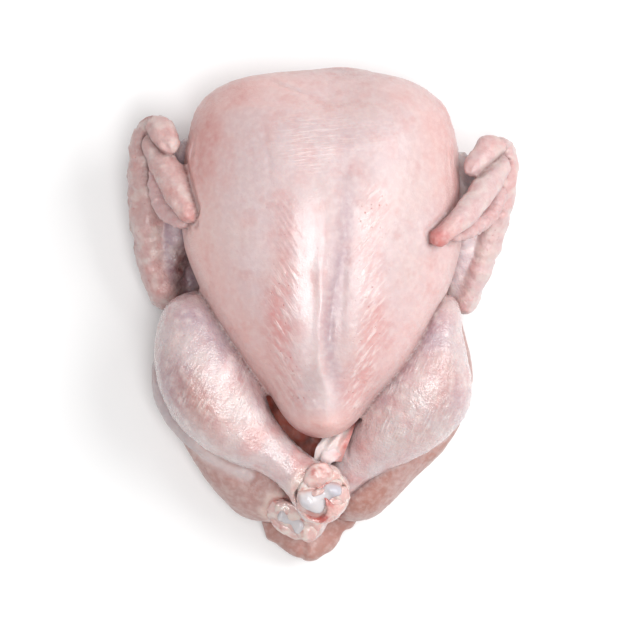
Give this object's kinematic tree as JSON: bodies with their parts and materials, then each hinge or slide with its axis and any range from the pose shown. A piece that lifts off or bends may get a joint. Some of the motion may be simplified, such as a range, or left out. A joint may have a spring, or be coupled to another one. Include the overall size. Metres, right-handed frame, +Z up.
{
  "type": "whole raw chicken",
  "caption": "Whole oven-ready raw chicken on its back, breast up, wings folded at its sides, shanks crossed over the open vent",
  "frame": {"origin": "bottom centre of the bird's bounding box, on the surface it lies on", "axes": "+Y points to the neck end, +Z up through the breast, +X to the right as seen from above with the neck away"},
  "size_m": [0.2102, 0.2692, 0.108],
  "materials": {
    "skin": "moist raw poultry skin, pale pink with dimples",
    "cartilage": "wet joint cartilage, bluish white"
  },
  "bodies": {
    "root": {"chicken": "skin", "hock_bone_left": "cartilage", "hock_bone_right": "cartilage"}
  },
  "joints": []
}
